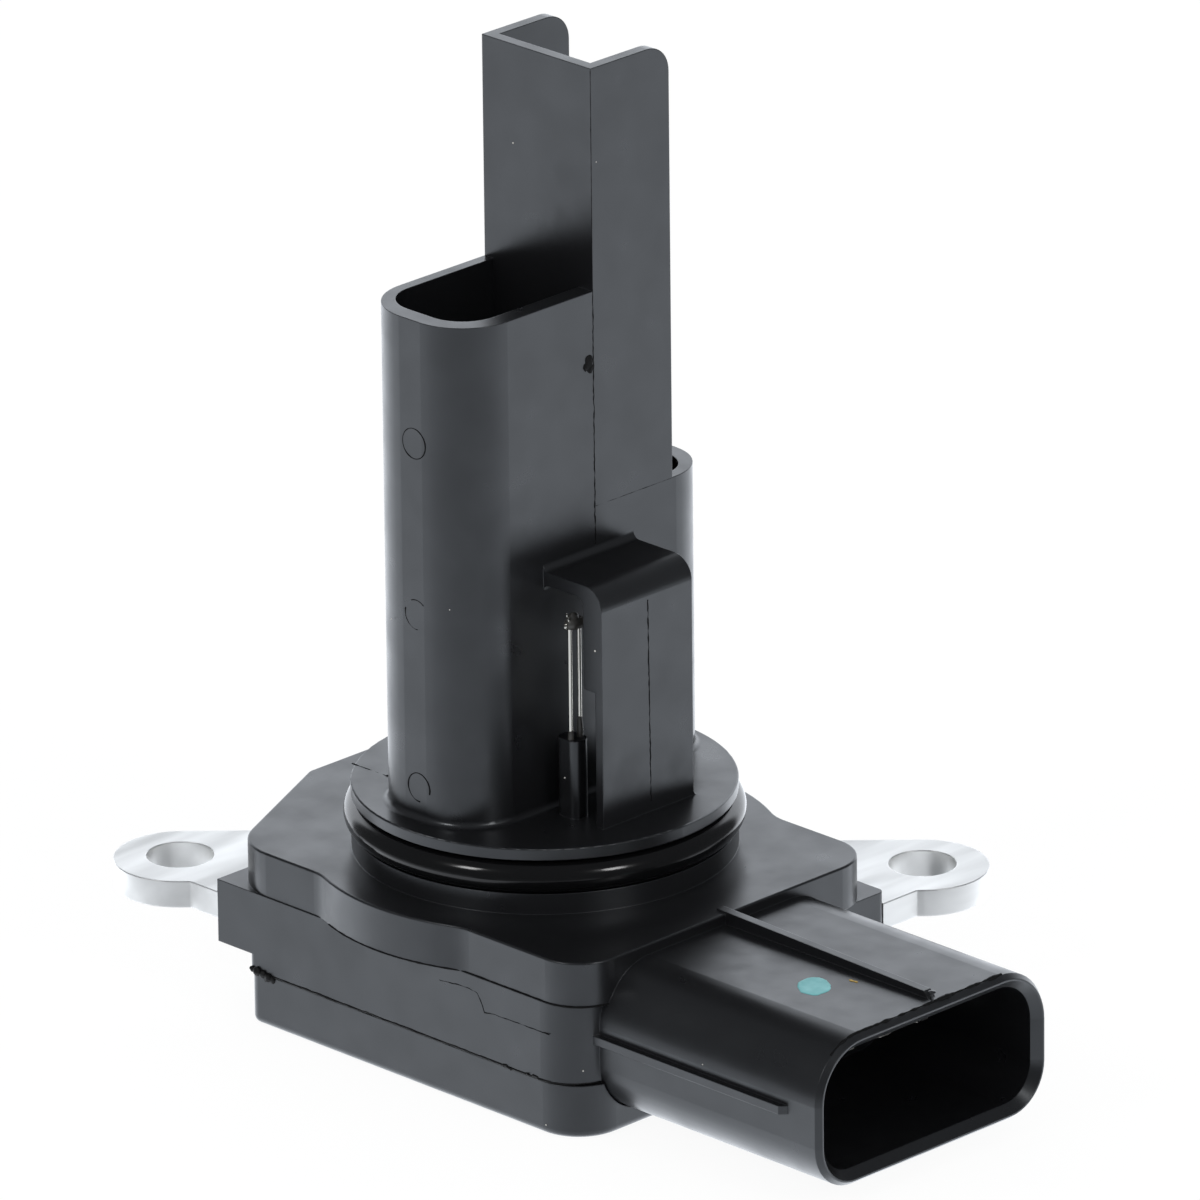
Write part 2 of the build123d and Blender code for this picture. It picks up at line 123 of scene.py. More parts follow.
# %% World
AWAY = (-math.cos(AZIMUTH), math.sin(AZIMUTH), 0.0)   # level, from the camera to the sensor
TABLE_NEAR = 0.88                   # strengths that gloss sees: table on the camera's side,
TABLE_SIDE = 1.36                   # to the left and right,
TABLE_FAR = 2.10                    # and behind
FAR_FROM = 0.6                      # cosine, from straight away, past which the table is brightest
BACKDROP = 1.85
ROOM = 0.13
TABLE_EDGE = (-0.33, -0.17)         # sines of the elevations between which the table ends
BACKDROP_EDGE = (0.42, 0.58)        # and the backdrop
BACKDROP_SIDE = (0.66, 0.76)        # cosines, from straight away, between which it ends sideways
GLOSS_TINT = (0.93, 0.97, 1.03, 1.0)
SOFT_TINT = (0.97, 0.985, 1.0, 1.0)
SOFT_LIGHT = 0.85
WHITE = (1.0, 1.0, 1.0, 1.0)


def make_world():
    world = bpy.data.worlds.new("studio")
    bpy.context.scene.world = world
    world.use_nodes = True
    world.cycles.sampling_method = "NONE"   # nothing in it is small and bright
    tree = world.node_tree
    tree.nodes.clear()
    look = add_node(tree, "ShaderNodeTexCoord").outputs["Generated"]
    height = add_node(tree, "ShaderNodeSeparateXYZ", {"Vector": look}).outputs["Z"]
    flat = add_node(tree, "ShaderNodeVectorMath", {0: look, 1: (1, 1, 0)}, operation="MULTIPLY")
    level = add_node(tree, "ShaderNodeVectorMath", {0: flat.outputs[0]}, operation="NORMALIZE")
    away = add_node(tree, "ShaderNodeVectorMath", {0: level.outputs[0], 1: AWAY},
                    operation="DOT_PRODUCT").outputs["Value"]
    near = add_node(tree, "ShaderNodeMapRange",
                    {"Value": away, "From Min": -1.0, "From Max": 0.0,
                     "To Min": TABLE_NEAR, "To Max": TABLE_SIDE})
    far = add_node(tree, "ShaderNodeMapRange",
                   {"Value": away, "From Min": 0.0, "From Max": FAR_FROM,
                    "To Min": 0.0, "To Max": TABLE_FAR - TABLE_SIDE})
    table = add_node(tree, "ShaderNodeMath", {0: near.outputs[0], 1: far.outputs[0]}, operation="ADD")
    wall = add_node(tree, "ShaderNodeMapRange",
                    {"Value": away, "From Min": BACKDROP_SIDE[0], "From Max": BACKDROP_SIDE[1],
                     "To Min": ROOM, "To Max": BACKDROP}, interpolation_type="SMOOTHSTEP")
    top = add_node(tree, "ShaderNodeMapRange",
                   {"Value": height, "From Min": BACKDROP_EDGE[0], "From Max": BACKDROP_EDGE[1]},
                   interpolation_type="SMOOTHSTEP")
    edge = add_node(tree, "ShaderNodeMapRange",
                    {"Value": height, "From Min": TABLE_EDGE[0], "From Max": TABLE_EDGE[1]},
                    interpolation_type="SMOOTHSTEP")
    above = add_node(tree, "ShaderNodeMix", {0: top.outputs[0], 2: wall.outputs[0], 3: ROOM},
                     data_type="FLOAT")
    strength = add_node(tree, "ShaderNodeMix",
                        {0: edge.outputs[0], 2: table.outputs[0], 3: above.outputs[0]}, data_type="FLOAT")
    room = add_node(tree, "ShaderNodeBackground", {"Color": GLOSS_TINT, "Strength": strength.outputs[0]})
    soft = add_node(tree, "ShaderNodeBackground", {"Color": SOFT_TINT, "Strength": SOFT_LIGHT})
    white = add_node(tree, "ShaderNodeBackground", {"Color": WHITE, "Strength": 1.0})
    path = add_node(tree, "ShaderNodeLightPath").outputs
    glossy = add_node(tree, "ShaderNodeMixShader",
                      {0: path["Is Glossy Ray"], 1: soft.outputs[0], 2: room.outputs[0]})
    seen = add_node(tree, "ShaderNodeMixShader",
                    {0: path["Is Camera Ray"], 1: glossy.outputs[0], 2: white.outputs[0]})
    add_node(tree, "ShaderNodeOutputWorld", {"Surface": seen.outputs[0]})


make_world()
# The Standard view shows a strength of 1 as white, where a filmic one would make the paper grey.
bpy.context.scene.view_settings.view_transform = "Standard"
print("world: table", TABLE_NEAR, TABLE_SIDE, TABLE_FAR, "backdrop", BACKDROP, "room", ROOM)

# %% [markdown]
# ## Two softboxes
# The sealing ring is the one shiny piece, and it shows where the lamps stood: two short highlights,
# one on each side of the camera, from softboxes some 35 degrees up. They stand there here too. A
# lamp without size would give dots, so each is a rectangle as large as the highlights ask for.

# %% Lamps
LAMP_DISTANCE = 1.3                 # m
LAMP_SIZE = (0.23, 0.28)            # m, wide and high
LAMP_WATTS = 2.3
LAMPS = {"softbox left": (-94, 39), "softbox right": (-3, 33)}   # azimuth from +X and elevation


def make_lamp(name, azimuth, elevation):
    lamp = bpy.data.lights.new(name, "AREA")
    lamp.shape = "RECTANGLE"
    lamp.size, lamp.size_y = LAMP_SIZE
    lamp.energy = LAMP_WATTS
    thing = bpy.data.objects.new(name, lamp)
    turn, rise = math.radians(azimuth), math.radians(elevation)
    towards = Vector((math.cos(rise) * math.cos(turn), math.cos(rise) * math.sin(turn), math.sin(rise)))
    thing.location = towards * LAMP_DISTANCE
    thing.rotation_euler = (-towards).to_track_quat("-Z", "Y").to_euler()
    bpy.context.scene.collection.objects.link(thing)


for name, (azimuth, elevation) in LAMPS.items():
    make_lamp(name, azimuth, elevation)

# %% [markdown]
# ## The floor
# The sensor stands on white paper that was lit until it nearly burnt out, so only a breath of
# shadow is left under it. More light would also change the plastic. Instead the paper shows the
# camera mostly plain white, with a little of its real, shaded self mixed in. Glossy rays pass
# through it, because the table that gloss sees is already part of the world.

# %% Floor
FLOOR_SIZE = 6.0                    # m
FLOOR_WHITE = 0.92                  # how much of the camera's floor is plain white
FLOOR_GLOW = 1.02                   # a touch over 1, so that the mixture still reaches white
PAPER_COLOUR = "#F2F2F2"


def make_floor():
    mesh = bpy.data.meshes.new("floor")
    half = FLOOR_SIZE / 2
    corners = [(-half, -half, 0), (half, -half, 0), (half, half, 0), (-half, half, 0)]
    mesh.from_pydata(corners, [], [(0, 1, 2, 3)])
    floor = bpy.data.objects.new("floor", mesh)
    bpy.context.scene.collection.objects.link(floor)
    material = bpy.data.materials.new("studio_floor_white")
    material.use_nodes = True
    tree = material.node_tree
    tree.nodes.clear()
    path = add_node(tree, "ShaderNodeLightPath").outputs
    paper = add_node(tree, "ShaderNodeBsdfDiffuse", {"Color": linear(PAPER_COLOUR)})
    glow = add_node(tree, "ShaderNodeEmission", {"Color": WHITE, "Strength": FLOOR_GLOW})
    seen = add_node(tree, "ShaderNodeMath", {0: path["Is Camera Ray"], 1: FLOOR_WHITE},
                    operation="MULTIPLY")
    both = add_node(tree, "ShaderNodeMixShader",
                    {0: seen.outputs[0], 1: paper.outputs[0], 2: glow.outputs[0]})
    clear = add_node(tree, "ShaderNodeBsdfTransparent")
    total = add_node(tree, "ShaderNodeMixShader",
                     {0: path["Is Glossy Ray"], 1: both.outputs[0], 2: clear.outputs[0]})
    add_node(tree, "ShaderNodeOutputMaterial", {"Surface": total.outputs[0]})
    material.cycles.emission_sampling = "NONE"   # the glow is for the camera, and no lamp
    mesh.materials.append(material)


make_floor()
print("floor:", FLOOR_SIZE, "m wide")

# %% [markdown]
# ## Black moulded plastic
# The housing and cover are PBT with glass fibre, injection moulded in black. The steel mould was
# spark eroded, which leaves a fine even grain, so the gloss is soft. Fibres near the surface make
# the gloss vary in patches a few millimetres across. Nearly all the grey that the eye sees is
# reflection, so the base colour is very dark. Moulded edges are never knife sharp: a Bevel node
# turns the normal over a tenth of a millimetre and gives each edge its fine line of light. Pictures
# of real grain could be wrapped on, but noise needs no unwrapping and shows no seams. One function
# serves every finish of the sensor, because all of them are grain, patches and edges.

# %% Moulded plastic
GRAIN = 0.22 * MM                   # real grain is near 0.05 mm, drawn coarser so that it shows
PATCH = 3.5 * MM                    # where fibres lie near the surface
PATCH_SHADE = 0.75                  # how dark a patch can get, as a share of the base colour
NOISE_SPAN = (0.3, 0.7)             # nearly all of a noise lies between these values
EDGE_ROUND = 0.10 * MM
BEVEL_SAMPLES = 6
EDGE_TURN = (0.995, 0.80)           # cosines of the normal's turn where wear begins and is full
EDGE_WEAR = 0.6                     # how much of the worn colour the sharpest edge takes
RELIEF = 0.02 * MM                  # height of the grain at full bump


def textured(name, base, worn, roughness, ior, grain=GRAIN, bump=0.10, patch=PATCH, edge=EDGE_ROUND,
             stretch=(1, 1, 1), metallic=0.0, spread=0.05, tint=(1, 1, 1)):
    """A moulded, cast or drawn finish: grain, patches of gloss and rounded, slightly worn edges."""
    material = bpy.data.materials.new(name)
    material.use_nodes = True
    tree = material.node_tree
    tree.nodes.clear()
    shade = [PATCH_SHADE * c for c in linear(base)[:3]] + [1.0]
    place = add_node(tree, "ShaderNodeTexCoord")
    spot = add_node(tree, "ShaderNodeMapping", {"Vector": place.outputs["Object"], "Scale": stretch})
    fine = add_node(tree, "ShaderNodeTexNoise",
                    {"Vector": spot.outputs[0], "Scale": 1 / grain, "Detail": 2.0})
    wide = add_node(tree, "ShaderNodeTexNoise",
                    {"Vector": spot.outputs[0], "Scale": 1 / patch, "Detail": 3.0})
    soft = add_node(tree, "ShaderNodeBevel", {"Radius": edge}, samples=BEVEL_SAMPLES)
    plain = add_node(tree, "ShaderNodeNewGeometry")
    turn = add_node(tree, "ShaderNodeVectorMath", {0: soft.outputs[0], 1: plain.outputs["Normal"]},
                    operation="DOT_PRODUCT")
    wear = add_node(tree, "ShaderNodeMapRange",
                    {"Value": turn.outputs["Value"], "From Min": EDGE_TURN[0], "From Max": EDGE_TURN[1],
                     "To Min": 0.0, "To Max": EDGE_WEAR})
    tone = add_node(tree, "ShaderNodeMix", {0: wide.outputs["Fac"], 6: linear(base), 7: shade},
                    data_type="RGBA")
    colour = add_node(tree, "ShaderNodeMix", {0: wear.outputs[0], 6: tone.outputs[2], 7: linear(worn)},
                      data_type="RGBA")
    gloss = add_node(tree, "ShaderNodeMapRange",
                     {"Value": wide.outputs["Fac"], "From Min": NOISE_SPAN[0], "From Max": NOISE_SPAN[1],
                      "To Min": roughness - spread, "To Max": roughness + spread})
    relief = add_node(tree, "ShaderNodeBump",
                      {"Strength": bump, "Distance": RELIEF,
                       "Height": fine.outputs["Fac"], "Normal": soft.outputs[0]})
    shader = add_node(tree, "ShaderNodeBsdfPrincipled",
                      {"Base Color": colour.outputs[2], "Roughness": gloss.outputs[0],
                       "Normal": relief.outputs[0], "IOR": ior, "Metallic": metallic,
                       "Specular Tint": list(tint) + [1.0]})
    add_node(tree, "ShaderNodeOutputMaterial", {"Surface": shader.outputs[0]})
    return material


SOOT_BLUE = (0.92, 0.96, 1.0)       # carbon black gives the gloss a cold cast
# The index of refraction is above the bare resin's 1.6, so that the soft gloss is as bright as in
# the photograph.
PBT = textured("glass_filled_pbt_black", "#161618", "#242527", roughness=0.32, ior=1.72,
               tint=SOOT_BLUE)
PBT_COVER = textured("glass_filled_pbt_black_cover", "#171719", "#252628", roughness=0.34, ior=1.72,
                     tint=SOOT_BLUE)
print("plastic grain", GRAIN / MM, "mm, patches", PATCH / MM, "mm")

# %% [markdown]
# ## Metals and rubber
# The plate is rolled aluminium, stamped and tumbled. The terminals are tinned brass, and the
# thermistor's wires are plated and drawn. The ring is moulded nitrile rubber, and the sealant is
# silicone. They differ from the plastic in gloss and in how their grain runs, so each is the same
# function with its own values. A grain that is stretched along one axis is a drawn or rolled one.

# %% Metals and rubber
# Tumbling blurs the mirror to a pale satin, and rolling leaves faint scratches one way.
ALUMINIUM = textured("tumbled_aluminium", "#F3F3F1", "#F8F8F8", roughness=0.40, ior=1.5,
                     grain=0.18 * MM, bump=0.12, patch=2.5 * MM, edge=0.15 * MM,
                     stretch=(1, 0.15, 1), metallic=1.0, spread=0.06)
# A polished mould gives a black that is smooth enough for tight highlights.
RUBBER = textured("nitrile_rubber_ring", "#0B0B0C", "#101011", roughness=0.15, ior=1.50,
                  grain=0.4 * MM, bump=0.03, patch=2.0 * MM, edge=0.04 * MM, spread=0.02)
# Silicone cures with a matt skin, so a bead of it reads as a black line.
SEALANT = textured("silicone_sealant_black", "#0B0B0C", "#101011", roughness=0.55, ior=1.42,
                   edge=0.05 * MM)
# Dull tin is a warm grey satin.
TINNED = textured("tinned_brass", "#CFCCC4", "#DAD8D2", roughness=0.28, ior=1.5, grain=0.15 * MM,
                  metallic=1.0, edge=0.06 * MM)
# Drawing leaves faint lines along the wire, and plating makes it bright.
WIRE = textured("nickel_plated_wire", "#DEDCD4", "#EDEBE6", roughness=0.16, ior=1.5,
                grain=0.1 * MM, bump=0.05, stretch=(1, 1, 0.1), metallic=1.0, edge=0.02 * MM)
print("metals and rubber:", [m.name for m in (ALUMINIUM, RUBBER, SEALANT, TINNED, WIRE)])

# %% [markdown]
# ## Resins and ceramics
# The thermistor was dipped in resin, and the two sensing elements are glazed. Inside, where only an
# open model shows it, a circuit lies on a fired ceramic board: moulded chips, fired capacitors,
# printed resistors and a filled adhesive. Most of these pieces are a few millimetres across, so
# their edges are rounded less than the housing's.

# %% Resins and ceramics
# Dipped resin is a greyish drop with a soft highlight.
RESIN_DROP = textured("dipped_resin_drop", "#3C3B39", "#474644", roughness=0.34, ior=1.55, bump=0.05,
                      edge=0.03 * MM)
# Alumina without glaze is a chalky white.
ALUMINA = textured("fired_alumina", "#E9E6DC", "#EFECE4", roughness=0.45, ior=1.76, grain=0.1 * MM,
                   edge=0.06 * MM)
# A skin of glass gives the sensing elements a sharp highlight.
GLAZE = textured("glazed_ceramic_white", "#E4E1D6", "#ECEAE2", roughness=0.15, ior=1.5, bump=0.03,
                 edge=0.04 * MM)
# Silica in the resin makes the chips matt.
CHIP_RESIN = textured("moulded_epoxy_black", "#1A1A1B", "#232324", roughness=0.50, ior=1.55,
                      edge=0.06 * MM)
# The fired body of a capacitor is a matt tan.
FIRED_TAN = textured("fired_barium_titanate", "#A0825C", "#AD9070", roughness=0.42, ior=1.8,
                     edge=0.05 * MM)
# Resistor film is printed and covered with thin glass, which shines a little.
FILM_BLACK = textured("thick_film_black", "#1B1B1D", "#2A2A2C", roughness=0.35, ior=1.55,
                      edge=0.04 * MM)
# Powder in the silicone, which carries the heat away, makes it a dull grey.
ADHESIVE = textured("filled_silicone_grey", "#8C8F93", "#94979B", roughness=0.50, ior=1.43,
                    edge=0.05 * MM)
print("finishes so far:", len(bpy.data.materials))

# %% [markdown]
# ## Finishes onto the solids
# Each CAD node is one material on the real sensor, so a table of names is all it takes. What the
# table doesn't name is a terminal, and gets the tin.

# %% Give each solid its finish
FINISH = {"housing": PBT, "cover": PBT_COVER, "cover_seal": SEALANT, "mounting_plate": ALUMINIUM,
          "o_ring": RUBBER, "heater_element": GLAZE, "cold_element": GLAZE, "thermistor_bead": RESIN_DROP,
          "board_adhesive": ADHESIVE, "circuit_board": ALUMINA, "control_chip": CHIP_RESIN,
          "regulator_chip": CHIP_RESIN, "capacitors": FIRED_TAN, "resistors": FILM_BLACK,
          "connector_bonds": WIRE, "probe_bonds": WIRE, "thermistor_lead_1": WIRE, "thermistor_lead_2": WIRE}
for name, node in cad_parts.items():
    for place in node.material_slots:
        place.material = FINISH.get(name, TINNED)
print("finished nodes:", len(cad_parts), "of which tinned:", len(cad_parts) - len(FINISH))

# %% [markdown]
# ## Growing pieces with Geometry Nodes
# The small traces on the sensor are of two kinds: threads that follow a path, and lumps that lie on
# points. Both repeat, so each kind gets one tree, and every piece is a mesh of paths or points with
# its own values. The helpers below run a tree, keep its result as a plain mesh and let it ride on
# the sensor. A modifier knows its inputs only by identifiers, so set_input looks them up by name.

# %% Helpers that grow a piece


def set_input(modifier, name, value):
    for item in modifier.node_group.interface.items_tree:
        if item.item_type == "SOCKET" and item.in_out == "INPUT" and item.name == name:
            modifier[item.identifier] = value


def new_tree(name, inputs):
    tree = bpy.data.node_groups.new(name, "GeometryNodeTree")
    tree.interface.new_socket("Geometry", in_out="INPUT", socket_type="NodeSocketGeometry")
    for title, kind, value in inputs:
        socket = tree.interface.new_socket(title, in_out="INPUT", socket_type="NodeSocket" + kind)
        if value is not None:
            socket.default_value = value
    tree.interface.new_socket("Geometry", in_out="OUTPUT", socket_type="NodeSocketGeometry")
    return tree


def keep(name, mesh):
    """Let a finished mesh ride on the sensor."""
    piece = bpy.data.objects.new(name, mesh)
    bpy.context.scene.collection.objects.link(piece)
    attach(piece, "root")
    print(name, "has", len(mesh.polygons), "faces")


def grow(name, mesh, tree, values):
    """Run the tree on a mesh of paths or points and keep the result as a plain piece."""
    source = bpy.data.objects.new(name + "_source", mesh)
    bpy.context.scene.collection.objects.link(source)
    modifier = source.modifiers.new("grow", "NODES")
    modifier.node_group = tree
    for title, value in values.items():
        set_input(modifier, title, value)
    graph = bpy.context.evaluated_depsgraph_get()
    grown = bpy.data.meshes.new_from_object(source.evaluated_get(graph))
    source.modifiers.remove(modifier)
    bpy.data.objects.remove(source)
    grown.name = name
    keep(name, grown)


print("geometry trees so far:", len(bpy.data.node_groups))

# %% [markdown]
# ## Fine threads
# Where two halves of a mould meet, a little plastic creeps into the gap and leaves a fine dark
# thread. Ejector pins leave thin rings, and sealant a fine bead. A bump map could draw them, but a
# real thread also shows on the outline and casts its shade. So one tree walks along each path in
# short steps, lets a noise make the thread thicker and thinner and push it a little aside, and
# sweeps a small circle along it. The seed moves the noise, so that no two pieces look alike.

# %% The tree for uneven threads
THREAD_STEP = 0.12 * MM
THREAD_SIDES = 6
MIDDLE = (0.5, 0.5, 0.5)            # the mean of a noise's three channels


def thread_tree():
    tree = new_tree("uneven_thread", [("Radius", "Float", 0.05 * MM), ("Unevenness", "Float", 0.4),
                                      ("Wave", "Float", 0.8 * MM), ("Wander", "Vector", None),
                                      ("Seed", "Float", 0.0), ("Material", "Material", None)])
    given = add_node(tree, "NodeGroupInput").outputs
    line = add_node(tree, "GeometryNodeMeshToCurve", {"Mesh": given["Geometry"]})
    steps = add_node(tree, "GeometryNodeResampleCurve", {"Curve": line.outputs[0], "Length": THREAD_STEP},
                     mode="LENGTH")
    place = add_node(tree, "GeometryNodeInputPosition")
    rate = add_node(tree, "ShaderNodeMath", {0: 1.0, 1: given["Wave"]}, operation="DIVIDE")
    waves = add_node(tree, "ShaderNodeTexNoise",
                     {"Vector": place.outputs[0], "W": given["Seed"], "Scale": rate.outputs[0],
                      "Detail": 3.0}, noise_dimensions="4D")
    swing = add_node(tree, "ShaderNodeMapRange",
                     {"Value": waves.outputs["Fac"], "From Min": NOISE_SPAN[0],
                      "From Max": NOISE_SPAN[1], "To Min": -1.0, "To Max": 1.0})
    part = add_node(tree, "ShaderNodeMath", {0: swing.outputs[0], 1: given["Unevenness"]},
                    operation="MULTIPLY")
    scale = add_node(tree, "ShaderNodeMath", {0: 1.0, 1: part.outputs[0]}, operation="ADD")
    level = add_node(tree, "ShaderNodeVectorMath", {0: waves.outputs["Color"], 1: MIDDLE},
                     operation="SUBTRACT")
    drift = add_node(tree, "ShaderNodeVectorMath", {0: level.outputs[0], 1: given["Wander"]},
                     operation="MULTIPLY")
    moved = add_node(tree, "GeometryNodeSetPosition",
                     {"Geometry": steps.outputs[0], "Offset": drift.outputs[0]})
    ring = add_node(tree, "GeometryNodeCurvePrimitiveCircle",
                    {"Resolution": THREAD_SIDES, "Radius": given["Radius"]})
    swept = add_node(tree, "GeometryNodeCurveToMesh",
                     {"Curve": moved.outputs[0], "Profile Curve": ring.outputs[0],
                      "Scale": scale.outputs[0], "Fill Caps": True})
    real = add_node(tree, "GeometryNodeRealizeInstances", {"Geometry": swept.outputs[0]})
    dressed = add_node(tree, "GeometryNodeSetMaterial",
                       {"Geometry": real.outputs[0], "Material": given["Material"]})
    add_node(tree, "NodeGroupOutput", {"Geometry": dressed.outputs[0]})
    return tree


THREAD = thread_tree()
print("thread inputs:", [i.name for i in THREAD.interface.items_tree if i.in_out == "INPUT"])

# %% [markdown]
# ## Paths
# The threads' paths are lists of points in millimetres, measured in the photograph and laid on the
# CAD faces. Curve objects could hold them, but a mesh of edges takes fewer lines, and the tree turns
# it into curves by itself. Rings and rounded corners are arcs.

# %% Helpers for paths


def paths_mesh(name, paths):
    """Open paths, each a list of points in millimetres, as one mesh of edges."""
    mesh = bpy.data.meshes.new(name)
    points = [Vector(p) * MM for path in paths for p in path]
    edges = []
    start = 0
    for path in paths:
        edges += [(start + i, start + i + 1) for i in range(len(path) - 1)]
        start += len(path)
    mesh.from_pydata(points, edges, [])
    return mesh


def arc(centre, radius, start, end, steps, plane="XY"):
    """Points of a circle's arc in millimetres, angles in degrees, in the plane named."""
    points = []
    for i in range(steps + 1):
        angle = math.radians(start + (end - start) * i / steps)
        a, b = radius * math.cos(angle), radius * math.sin(angle)
        x, y, z = centre
        points.append({"XY": (x + a, y + b, z), "XZ": (x + a, y, z + b), "YZ": (x, y + a, z + b)}[plane])
    return points


print("a quarter turn in two steps:", [[round(v, 2) for v in p] for p in arc((0, 0, 0), 1, 0, 90, 2)])

# %% [markdown]
# ## Parting lines of the probe and guard
# The mould of the probe opened sideways, and its halves met on the flat side that faces the
# connector, and down the guard. The upper lines are hair fine. Lower down the mould was worn, and
# the seam is a wavy line of flash. The threads lie half sunk in the surface. Torn plastic has no
# moulded skin and mirrors nothing, so they look dark on the glossy faces.

# %% Parting lines of the probe and guard
TORN = textured("torn_moulding_flash", "#0C0C0D", "#101011", roughness=0.75, ior=1.35, bump=0.3,
                edge=0.02 * MM)
FACE_DEPTH = 0.02                   # mm, how deep below the surface a thread's middle lies
PROBE_FACE = 4.9                    # the probe's flat side towards the connector
PROBE_LINE_Y = 1.0                  # where the middle wall meets that side
PROBE_LINE_Z = (79.4, 61.6, 40.6)   # top of the line, where it grows wavy, and just above the guard
CHAMBER_TOP = 43.7
CHAMBER_LINE_END = 9.5
GUARD_FACE = 11.2
GUARD_LINE = ((0.36, 37.8), (0.54, 21.0))   # y and z of its ends

probe_x = PROBE_FACE - FACE_DEPTH
guard_x = GUARD_FACE - FACE_DEPTH
top, middle, bottom = [(probe_x, PROBE_LINE_Y, z) for z in PROBE_LINE_Z]
chamber_line = [(probe_x, PROBE_LINE_Y, CHAMBER_TOP), (probe_x, CHAMBER_LINE_END, CHAMBER_TOP)]
grow("probe_parting_lines", paths_mesh("probe_lines", [[top, middle], chamber_line]), THREAD,
     {"Radius": 0.028 * MM, "Unevenness": 0.5, "Material": TORN})
guard_line = [(guard_x, y, z) for y, z in GUARD_LINE]
grow("side_parting_flash", paths_mesh("seam_lines", [[middle, bottom], guard_line]), THREAD,
     {"Radius": 0.06 * MM, "Unevenness": 0.5, "Wave": 0.5 * MM, "Wander": (0, 0.22 * MM, 0), "Seed": 3.0,
      "Material": TORN})

# %% [markdown]
# ## Ejector marks
# Three round pins pushed the moulding out of its mould, and each left a thin ring on the front of
# the tube. Where a pin sat flush, its ring is broken off, so each mark lists the stretches that
# show. A ring is the same thread on a round path.

# %% Ejector marks on the tube
TUBE_FRONT = -13.0                  # mm, the flat front of the tube
EJECTOR_X = -0.68
MARKS = ((51.27, 1.24, ((-60, 300),)), (37.15, 1.22, ((50, 115), (165, 275))),
         (22.80, 1.18, ((-15, 275),)))   # height, radius, and the stretches that show in degrees

marks = [arc((EJECTOR_X, TUBE_FRONT + FACE_DEPTH, z), r, start, end, steps=24, plane="XZ")
         for z, r, shown in MARKS for start, end in shown]
grow("ejector_marks", paths_mesh("marks", marks), THREAD,
     {"Radius": 0.055 * MM, "Unevenness": 0.5, "Wave": 1.6 * MM, "Seed": 7.0, "Material": TORN})

# %% [markdown]
# ## Lines on the flange and body
# The flange, or deck, was moulded between an upper and a lower half, which met at its lower edge. A
# slide of the mould left a stepped witness line on the body's front, and another left a short one
# on the disc. The stepped line is only a row of points. The deck's line follows the round swelling
# and the corner, so it is made of two arcs. Its dark thread is partly that seam's flash and partly
# painted shade, where the swelling overhangs the body.

# %% Lines on the flange and body
DECK_LINE_Z = 11.05                 # mm
BOSS_R = 18.6                       # the round swelling of the deck
BOSS_LINE_START = -110              # degrees
DECK_FRONT = -16.93
CORNER = (16.9, -13.1, 3.85)        # centre and radius of the deck's corner beside the connector
CORNER_SPAN = (-90, -10)            # degrees
BODY_FRONT = -17.0
WITNESS = [(5.4, 9.6), (7.6, 9.8), (8.7, 9.85), (9.55, 9.7), (10.0, 9.0), (10.3, 8.3), (11.4, 8.45),
           (17.4, 8.5)]             # x and z of the line on the front
DISC_TOP = 20.15
DISC_LINE = [(-12.8, -8.5), (-8.7, -8.45)]   # x and y of the line on the disc

boss_end = math.degrees(math.asin(-DECK_FRONT / BOSS_R))
deck_flash_and_shade_path = arc((0, 0, DECK_LINE_Z), BOSS_R, BOSS_LINE_START, -boss_end, steps=24)
deck_flash_and_shade_path += arc((CORNER[0], CORNER[1], DECK_LINE_Z), CORNER[2], *CORNER_SPAN, steps=12)
# The deck's dark thread is seam flash, and it is also painted shade under the swelling's overhang.
grow("deck_flash_and_painted_shade_line", paths_mesh("deck_flash_and_shade_path", [deck_flash_and_shade_path]), THREAD,
     {"Radius": 0.07 * MM, "Unevenness": 0.3, "Seed": 1.0, "Material": TORN})
fine_lines = [[(x, BODY_FRONT + FACE_DEPTH, z) for x, z in WITNESS],
              [(x, y, DISC_TOP - FACE_DEPTH) for x, y in DISC_LINE]]
grow("witness_lines", paths_mesh("fine_lines", fine_lines), THREAD,
     {"Radius": 0.045 * MM, "Unevenness": 0.6, "Wander": (0.1 * MM, 0, 0.2 * MM), "Seed": 5.0,
      "Material": TORN})

# %% [markdown]
# ## The ragged edge of the mouth
# Where the connector's mouth starts to slope in, the mould didn't quite close and left a torn rim
# of flash along the top and round the upper left corner. It is the same thread again, only much
# thicker and more uneven, so that its outline is ragged. Part of its width is painted shade: the
# dark thread also covers the shaded slope beside the flash.

# %% Ragged edge of the mouth
LIP_X = 43.08                       # mm, just behind where the slope starts
SHROUD_TOP = 13.85
LIP_END = 6.4                       # y where the torn edge ends
TOP_CORNER = (-9.4, 9.05, 4.8)      # y, z and radius of the shroud's upper left corner
LIP_SPAN = (128, 92)                # degrees

lip = arc((LIP_X, TOP_CORNER[0], TOP_CORNER[1]), TOP_CORNER[2], *LIP_SPAN, steps=8, plane="YZ")
lip.append((LIP_X, LIP_END, SHROUD_TOP))
# The thread is drawn wider than the flash, so that it also paints the shade on the slope.
grow("mouth_flash_and_painted_shade", paths_mesh("lip", [lip]), THREAD,
     {"Radius": 0.13 * MM, "Unevenness": 0.8, "Wave": 0.9 * MM, "Wander": (0.2 * MM, 0, 0), "Seed": 11.0,
      "Material": TORN})

# %% [markdown]
# ## Lumps
# Sealant, resin, torn stubs and dust are all small rounded lumps. They could be sculpted one by
# one, but nobody sees more of them than their size, their place and an uneven skin. So a second
# tree puts a ball on each point, gives it that point's own size, and pushes its skin in and out
# with noise.

# %% The tree for lumps


